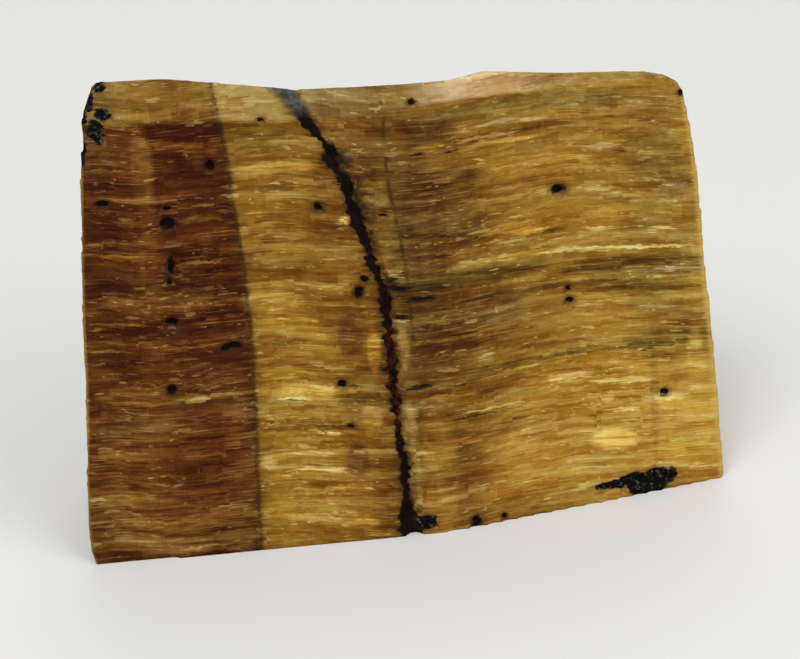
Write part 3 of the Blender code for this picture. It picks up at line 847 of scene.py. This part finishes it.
def paintBroadPatches(stone):
    # lays the broad tints over one another on the show face, as a colour and how much of it covers the stone
    x, y, z, along, height, depth = facePlaces(stone)
    colours, cover = np.zeros((len(x), 3)), np.zeros(len(x))
    for *patch, tint, strength in silkyStone["patches"]:
        if patch[3] < silkyStone["broadFrom"]:
            continue
        share = rise(patchDistance(along, height, *patch), 1, 1 - silkyStone["broadSoftness"])
        share = strength * share * share * (3 - 2 * share) * (depth < stoneLayout["faceDepth"])
        colours += (np.array(silkyStone["tints"][tint][:3]) - colours) * share[:, None]
        cover += (1 - cover) * share
    colours /= np.maximum(cover, 0.001)[:, None]
    tints = stone.data.attributes.new("broadTint", "FLOAT_COLOR", "POINT")
    tints.data.foreach_set("color", np.column_stack([colours, cover]).ravel())


# A kit holds the places on the stone and the groups that draw there.

def draw(kit, kind, *settings):
    # streaks, bundles or splinters
    names = ("Length", "Width", "Seed") + (("Share",) if kind == "splinters" else ("Low", "High", "Detail"))
    place = kit["fibres" if kind == "streaks" else "bundlePlace"]
    return useGroup(kit[kind], {**place, **dict(zip(names, settings))})[0]


def streaks(kit, name):
    return draw(kit, "streaks", *silkyStone["streaks"][name])


def patchPlace(x, z, halfLength, halfHeight):
    return {"Middle along": x, "Middle height": z - float(follow(stoneLayout["fibreRise"], x)),
            "Half length": halfLength, "Half height": halfHeight}


def drawPatch(kit, colour, patch, tint, strength, **others):
    return useGroup(kit["patch"], {**kit["facePlace"], **patchPlace(*patch), "Colour": colour,
                                   "Tint": silkyStone["tints"][tint], "Strength": strength, **others})[0]


def nearest(kit, spots):
    # how far the nearest of the spots is, where 1 is its edge
    found = {}
    for spot in spots:
        found = {"Nearest": useGroup(kit["spot"], {**kit["spotPlace"], **patchPlace(*spot), **found})[0]}
    return found["Nearest"]


def fade(name, value):
    return mapRange(value, *silkyStone["fades"][name])


def evenFade(name, value):
    return evenRange(value, *silkyStone["evenFades"][name])


def away(value, middle=0):
    return doMath("ABSOLUTE", minus(value, middle))


def makeKit(tree):
    look = silkyStone
    place = newNode("ShaderNodeTexCoord", {}, tree).outputs["Object"]
    space = useGroup(makeFibreSpace(), {"Position": place})
    along, height, depth = space["Along"], space["Height"], space["Depth"]
    kit = {"space": space, "streaks": makeStreaks(), "bundles": makeBundles(), "splinters": makeSplinters(),
           "patch": makeTintPatch(), "spot": makeSpot(), "place": inMillimetres(place),
           "fibres": {"Along": along, "Height": space["Stepped height"], "Depth": depth}}
    kit["grain"] = stretchedNoise(kit["place"], *look["veinGrain"])
    kit["bites"] = stretchedNoise(kit["place"], *look["veinBites"])
    kit["torn"], frayed = streaks(kit, "torn"), streaks(kit, "frayed")
    behind = times(doMath("GREATER_THAN", depth, look["markDepth"]), look["outOfReach"])
    faceHeight = jog(height, frayed, look["spotTear"])
    kit["facePlace"] = {"Along": plus(behind, jog(along, kit["torn"], look["patchTear"])),
                        "Height": faceHeight}
    kit["spotPlace"] = {"Along": plus(behind, jog(along, frayed, look["spotTear"])), "Height": faceHeight}
    kit["bundlePlace"] = {"Along": along, "Depth": depth,
                          "Height": timesPlus(frayed, look["bundleTear"], space["Stepped height"])}
    kit["painted"] = newNode("ShaderNodeAttribute", {}, tree, attribute_name="broadTint").outputs
    return kit


def layPatches(kit, colour):
    # tinted parts of the face, broken up into fibres: the broad ones are painted, the thin ones drawn here
    grain = evenFade("patch grain", streaks(kit, "patch grain"))
    colour = lay(colour, kit["painted"]["Color"], kit["painted"]["Alpha"], grain)
    for *patch, tint, strength in silkyStone["patches"]:
        if patch[3] < silkyStone["broadFrom"]:
            colour = drawPatch(kit, colour, patch, tint, strength, Grain=grain)
    return colour


def layBevelSheen(kit, colour):
    # painted sheen and highlight: the bevel turns the sheen, so even the brown band looks olive there
    space, look = kit["space"], silkyStone
    bevelSheenColour = rampAlong(space["Side"], look["bevel"], look["bevelSpan"])
    sheenOnBevel = times(fade("on bevel", space["AboveBevel"]), fade("bevel depth", space["Depth"]))
    return lay(colour, bevelSheenColour, sheenOnBevel)


def makeTone(kit):
    # light and dark of the fibres, from broad layers to single fibres
    tone = 0
    for *layer, share in silkyStone["toneLayers"]:
        tone = timesPlus(draw(kit, *layer), share, tone)
    return tone


def layTone(kit, colour, tone):
    for *bundle, share in silkyStone["hueBundles"]:
        hue = makeRamp(draw(kit, "bundles", *bundle), silkyStone["hues"])
        hue = vectorMath("MULTIPLY", hue, (2.0, 2.0, 2.0))
        colour = lay(colour, vectorMath("MULTIPLY", colour, hue), share)
    return bendColour(colour, evenFade("tone bend", tone))


def layFibreEnds(kit, colour):
    # painted glints on pale fibre ends, in crowds, and deep fibre ends
    look = silkyStone
    crowd = times(fade("glint crowd", nearest(kit, look["glints"])),
                  evenFade("glint clumps", streaks(kit, "clumps")))
    paleGlints = [draw(kit, "splinters", *ends, times(crowd, share)) for *ends, share in look["glintEnds"]]
    paleGlints = largest(*paleGlints, times(streaks(kit, "paleGlints"), look["glintStreaks"]))
    deep = [draw(kit, "splinters", *ends) for ends in look["deepEnds"]]
    deep = largest(*deep, times(streaks(kit, "deep"), look["deepStreaks"]))
    glintColour = vectorMath("MULTIPLY", bendColour(colour, look["glintBend"]), look["glintTint"])
    colour = lay(colour, bendColour(colour, look["deepBend"]), deep, look["deepShare"])
    return lay(colour, glintColour, paleGlints, look["glintShare"])


def layLines(kit, colour):
    # dark threads, the band's edge line and the second line
    space, look = kit["space"], silkyStone
    for *thread, strength in look["threads"]:
        colour = drawPatch(kit, colour, thread, "black", strength, Core=look["threadCore"])
    edgeLine = fade("edge line", away(space["Growth"], look["edgeLineAt"]))
    secondLine = times(fade("second line", away(space["FromSecond"])),
                       fade("second line foot", space["Level"]))
    for name, line in (("edge line", edgeLine), ("second line", secondLine)):
        colour = lay(colour, look["tints"]["umber"], line, streaks(kit, name))
    return colour


def layVein(kit, colour, tone):
    # open vein with a dark halo and a mottled stain along its right side; also gives where the vein is
    space, look, grain, bites = kit["space"], silkyStone, kit["grain"], kit["bites"]
    level, aboveBevel = space["Level"], space["AboveBevel"]
    fromVein = away(jog(space["FromVein"], streaks(kit, "vein swerve"), look["veinSwerve"]))
    pastEdge = minus(fromVein, curveValue(stoneLayout["veinHalf"], level))
    pastEdge = plus(pastEdge, evenFade("vein bites", bites))
    colour = lay(colour, look["tints"]["umber"], fade("vein halo", pastEdge), fade("vein halo tone", tone))
    mottled = times(pastEdge, fade("stain mottle", bites))
    colour = lay(colour, look["stainColour"], fade("stain", mottled),
                 doMath("GREATER_THAN", space["FromVein"], 0.0),
                 fade("stain ends", away(level, look["stainMiddle"])), fade("stain grain", grain))
    # black inside, red over one stretch and grey where it crosses the bevel
    veinColour = lay(look["veinDark"], look["veinRed"], fade("red stretch", away(level, look["redMiddle"])),
                     fade("red grain", grain))
    veinColour = lay(veinColour, look["veinGrey"], fade("smudge", aboveBevel), fade("smudge grain", grain))
    softness = fade("vein softness", aboveBevel)
    inVein = mapRange(pastEdge, times(softness, -1.0), softness, 1, 0)
    return lay(colour, veinColour, inVein), inVein


def layWeather(kit, colour):
    # dull ochre and dark iron stains on the broken rear and ends
    weathered = fade("weathered", kit["space"]["Depth"])
    for *noise, strength, stain in silkyStone["weather"]:
        colour = lay(colour, stain, weathered, mapRange(stretchedNoise(kit["place"], *noise), *strength))
    return colour


def layRimLight(kit, colour):
    # painted rim light: thin pale highlights where the face ends
    side, level, depth = kit["space"]["Side"], kit["space"]["Level"], kit["space"]["Depth"]
    fromLeft = minus(side, curveValue(stoneLayout["leftEnd"], level))
    fromRight = minus(curveValue(stoneLayout["rightEnd"], level), side)
    rim = largest(fade("left rim light", fromLeft), fade("right rim light", fromRight))
    return lay(colour, silkyStone["rimLightColour"], rim, fade("rim light depth", depth), fade("torn rim light", kit["torn"]))


def laySpots(kit, colour):
    # pits with brown rings and black cores painted as shade in their hollows, and black granular crust; also
    # gives where they are
    look, umber = silkyStone, silkyStone["tints"]["umber"]
    fromPit, fromCrust = nearest(kit, look["pits"]), nearest(kit, look["crusts"])
    inPit = fade("pit", jog(fromPit, kit["grain"], look["pitRagged"]))
    inCrust = fade("crust", jog(fromCrust, kit["bites"], look["crustRagged"]))
    crustHalo = fade("crust halo", timesPlus(kit["bites"], look["haloRagged"], fromCrust))
    crumbs = makeRamp(kit["grain"], look["crustTones"])
    for tint, share in ((umber, fade("pit ring", fromPit)), (look["tints"]["black"], inPit),
                        (umber, crustHalo), (crumbs, inCrust)):
        colour = lay(colour, tint, share)
    return colour, largest(inPit, inCrust)


def makeSilkyStone(stone):
    look = silkyStone
    paintBroadPatches(stone)
    material = bpy.data.materials.new("silkyStone")
    material.use_nodes = True
    tree = material.node_tree
    surface = tree.nodes["Principled BSDF"]
    kit = makeKit(tree)
    tone = makeTone(kit)
    colour = rampAlong(kit["space"]["Growth"], look["sheets"], look["sheetSpan"])
    colour = layBevelSheen(kit, layPatches(kit, colour))
    colour = layLines(kit, layFibreEnds(kit, layTone(kit, colour, tone)))
    colour, inVein = layVein(kit, colour, tone)
    colour, inSpots = laySpots(kit, layRimLight(kit, layWeather(kit, colour)))
    roughness = evenRange(largest(inVein, inSpots), 0, 1, evenFade("roughness", tone), look["dullRoughness"])
    bump = newNode("ShaderNodeBump", {"Height": tone, "Distance": look["fibreDepth"] * millimetre,
                                      "Strength": 1.0}).outputs[0]
    for socket, value in (("Base Color", colour), ("Roughness", roughness), ("Normal", bump)):
        tree.links.new(value, surface.inputs[socket])
    surface.inputs["IOR"].default_value = look["ior"]
    surface.inputs["Specular IOR Level"].default_value = look["specularLevel"]
    stone.data.materials.clear()
    stone.data.materials.append(material)


studio = {
    "floorSize": 3,
    "floorColour": (0.80, 0.80, 0.77, 1),
    "floorRoughness": 0.9,
    "skyColour": (0.95, 0.96, 1.0, 1),
    "skyStrength": 0.42,
    # name, azimuth, elevation, distance, size, power
    "lamps": [("keyLamp", -35, 55, 0.8, 0.5, 3.2), ("fillLamp", 40, 35, 0.8, 0.6, 1.8),
              ("backLamp", 170, 50, 0.9, 0.5, 1.6)],
    "aim": (0, 0, 0.02),
}

viewpoint = {
    "azimuth": -11,
    "elevation": 26,
    "distance": 0.30,
    "lens": 139,
    "target": (-0.0013, -0.0123, 0.0205),
    "clipStart": 0.01,
}


def directionFrom(azimuth, elevation):
    turn, lift = math.radians(azimuth), math.radians(elevation)
    return Vector((math.sin(turn) * math.cos(lift), -math.cos(turn) * math.cos(lift), math.sin(lift)))


def makeFloor():
    deselectAll()
    bpy.ops.mesh.primitive_plane_add(size=studio["floorSize"], location=(0, 0, 0))
    floor = bpy.context.object
    floor.name = "floor"
    material = bpy.data.materials.new("paleFloor")
    material.use_nodes = True
    surface = material.node_tree.nodes["Principled BSDF"]
    surface.inputs["Base Color"].default_value = studio["floorColour"]
    surface.inputs["Roughness"].default_value = studio["floorRoughness"]
    floor.data.materials.append(material)


def makeLights():
    world = bpy.data.worlds.new("paleSky")
    world.use_nodes = True
    background = world.node_tree.nodes["Background"]
    background.inputs["Color"].default_value = studio["skyColour"]
    background.inputs["Strength"].default_value = studio["skyStrength"]
    bpy.context.scene.world = world
    bpy.context.scene.view_settings.view_transform = "Standard"
    aim = Vector(studio["aim"])
    for name, azimuth, elevation, distance, width, power in studio["lamps"]:
        back = directionFrom(azimuth, elevation)
        bpy.ops.object.light_add(type="AREA", location=aim + back * distance)
        lamp = bpy.context.object
        lamp.name = name
        lamp.data.shape = "DISK"
        lamp.data.size = width
        lamp.data.energy = power
        lamp.rotation_euler = back.to_track_quat("Z", "Y").to_euler()


def makeCamera():
    back = directionFrom(viewpoint["azimuth"], viewpoint["elevation"])
    bpy.ops.object.camera_add(location=Vector(viewpoint["target"]) + back * viewpoint["distance"])
    camera = bpy.context.object
    camera.name = "camera"
    camera.rotation_euler = back.to_track_quat("Z", "Y").to_euler()
    camera.data.lens = viewpoint["lens"]
    camera.data.clip_start = viewpoint["clipStart"]
    bpy.context.scene.camera = camera


makeCamera()
makeLights()
makeFloor()
print("studio ready")
stone = makeStone()
print("stone shaped,", len(stone.data.polygons), "faces")
makeSilkyStone(stone)
print("stone finished")
